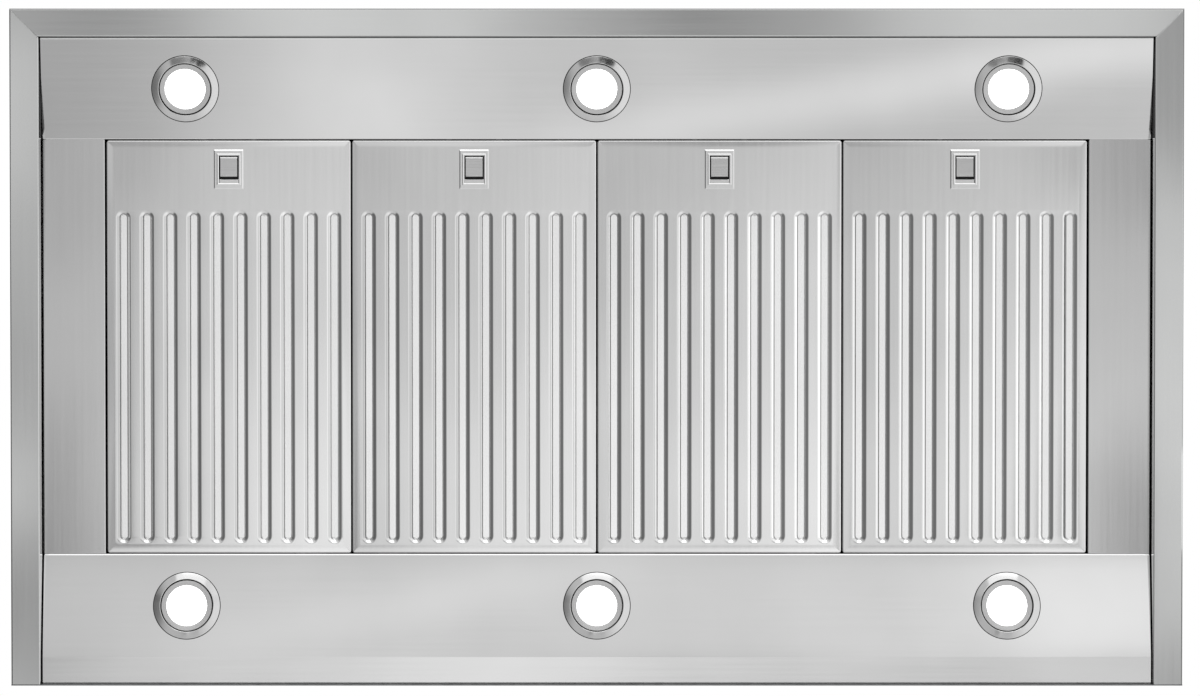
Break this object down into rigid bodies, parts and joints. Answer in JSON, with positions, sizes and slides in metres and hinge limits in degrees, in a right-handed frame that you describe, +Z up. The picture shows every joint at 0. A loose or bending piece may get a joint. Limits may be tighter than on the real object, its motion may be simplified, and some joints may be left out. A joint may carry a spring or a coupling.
{
  "type": "range hood",
  "caption": "Wall-mounted outdoor range hood in brushed steel with swing-down baffle filters, round lights, a double-inlet blower and a duct collar with backdraft damper.",
  "frame": {"origin": "on the wall plane, at the middle of the hood's width, level with the bottom rim", "axes": "+X along the wall to the right as seen from the room, +Y into the wall, +Z up"},
  "size_m": [1.216, 0.702, 0.537],
  "materials": {
    "shell_steel": "brushed",
    "underside_steel": "brushed",
    "filter_steel": "brushed",
    "latch": "satin",
    "light_trim": "satin",
    "lens": "frosted",
    "zinc_steel": "zinc coated",
    "wheel_steel": "zinc coated",
    "motor": "painted",
    "shaft": "ground",
    "damper": "mill",
    "switch_plastic": "moulded",
    "button_steel": "satin"
  },
  "bodies": {
    "hood": {"front_panel": "shell_steel", "side_panel_left": "shell_steel", "side_panel_right": "shell_steel", "back_panel": "shell_steel", "top_panel": "shell_steel", "front_light_panel": "underside_steel", "rear_light_panel": "underside_steel", "filler_panel_left": "underside_steel", "filler_panel_right": "underside_steel", "front_light_housings": "light_trim", "rear_light_housings": "light_trim", "front_light_lenses": "lens", "rear_light_lenses": "lens", "blower_housing": "zinc_steel", "blower_motor": "motor", "duct_collar": "zinc_steel", "collar_screws": "zinc_steel", "switch_housing": "switch_plastic", "junction_box": "zinc_steel", "junction_box_cover": "zinc_steel"},
    "filter_1": {"filter_pan_1": "filter_steel", "filter_baffles_1": "filter_steel", "latch_housing_1": "latch"},
    "latch_1": {"latch_slider_1": "latch"},
    "filter_2": {"filter_pan_2": "filter_steel", "filter_baffles_2": "filter_steel", "latch_housing_2": "latch"},
    "latch_2": {"latch_slider_2": "latch"},
    "filter_3": {"filter_pan_3": "filter_steel", "filter_baffles_3": "filter_steel", "latch_housing_3": "latch"},
    "latch_3": {"latch_slider_3": "latch"},
    "filter_4": {"filter_pan_4": "filter_steel", "filter_baffles_4": "filter_steel", "latch_housing_4": "latch"},
    "latch_4": {"latch_slider_4": "latch"},
    "rotor": {"motor_shaft": "shaft", "blower_wheel": "wheel_steel"},
    "damper_front": {"damper_flap_front": "damper"},
    "damper_rear": {"damper_flap_rear": "damper"},
    "button_1": {"push_button_1": "button_steel"},
    "button_2": {"push_button_2": "button_steel"},
    "button_3": {"push_button_3": "button_steel"},
    "button_4": {"push_button_4": "button_steel"},
    "button_5": {"push_button_5": "button_steel"}
  },
  "joints": [
    {"name": "filter_1_swing", "type": "hinge", "parent": "hood", "child": "filter_1", "pos_m": [-0.3834, -0.13426, 0.02699], "axis": [1, 0, 0], "range_deg": [0, 40]},
    {"name": "latch_1_slide", "type": "slide", "parent": "filter_1", "child": "latch_1", "axis": [0, 1, 0], "range_m": [0, 0.005], "stiffness_N_per_m": 400, "springref_m": -0.003},
    {"name": "filter_2_swing", "type": "hinge", "parent": "hood", "child": "filter_2", "pos_m": [-0.1278, -0.13426, 0.02699], "axis": [1, 0, 0], "range_deg": [0, 40]},
    {"name": "latch_2_slide", "type": "slide", "parent": "filter_2", "child": "latch_2", "axis": [0, 1, 0], "range_m": [0, 0.005], "stiffness_N_per_m": 400, "springref_m": -0.003},
    {"name": "filter_3_swing", "type": "hinge", "parent": "hood", "child": "filter_3", "pos_m": [0.1278, -0.13426, 0.02699], "axis": [1, 0, 0], "range_deg": [0, 40]},
    {"name": "latch_3_slide", "type": "slide", "parent": "filter_3", "child": "latch_3", "axis": [0, 1, 0], "range_m": [0, 0.005], "stiffness_N_per_m": 400, "springref_m": -0.003},
    {"name": "filter_4_swing", "type": "hinge", "parent": "hood", "child": "filter_4", "pos_m": [0.3834, -0.13426, 0.02699], "axis": [1, 0, 0], "range_deg": [0, 40]},
    {"name": "latch_4_slide", "type": "slide", "parent": "filter_4", "child": "latch_4", "axis": [0, 1, 0], "range_m": [0, 0.005], "stiffness_N_per_m": 400, "springref_m": -0.003},
    {"name": "rotor_spin", "type": "hinge", "parent": "hood", "child": "rotor", "pos_m": [0, -0.238, 0.25], "axis": [1, 0, 0], "continuous": true},
    {"name": "damper_front_swing", "type": "hinge", "parent": "hood", "child": "damper_front", "pos_m": [0, -0.1406, 0.495], "axis": [-1, 0, 0], "range_deg": [0, 75]},
    {"name": "damper_rear_swing", "type": "hinge", "parent": "hood", "child": "damper_rear", "pos_m": [0, -0.1354, 0.495], "axis": [1, 0, 0], "range_deg": [0, 75]},
    {"name": "button_1_press", "type": "slide", "parent": "hood", "child": "button_1", "axis": [0, 1, 0], "range_m": [0, 0.0025], "stiffness_N_per_m": 800, "springref_m": -0.001},
    {"name": "button_2_press", "type": "slide", "parent": "hood", "child": "button_2", "axis": [0, 1, 0], "range_m": [0, 0.0025], "stiffness_N_per_m": 800, "springref_m": -0.001},
    {"name": "button_3_press", "type": "slide", "parent": "hood", "child": "button_3", "axis": [0, 1, 0], "range_m": [0, 0.0025], "stiffness_N_per_m": 800, "springref_m": -0.001},
    {"name": "button_4_press", "type": "slide", "parent": "hood", "child": "button_4", "axis": [0, 1, 0], "range_m": [0, 0.0025], "stiffness_N_per_m": 800, "springref_m": -0.001},
    {"name": "button_5_press", "type": "slide", "parent": "hood", "child": "button_5", "axis": [0, 1, 0], "range_m": [0, 0.0025], "stiffness_N_per_m": 800, "springref_m": -0.001}
  ]
}
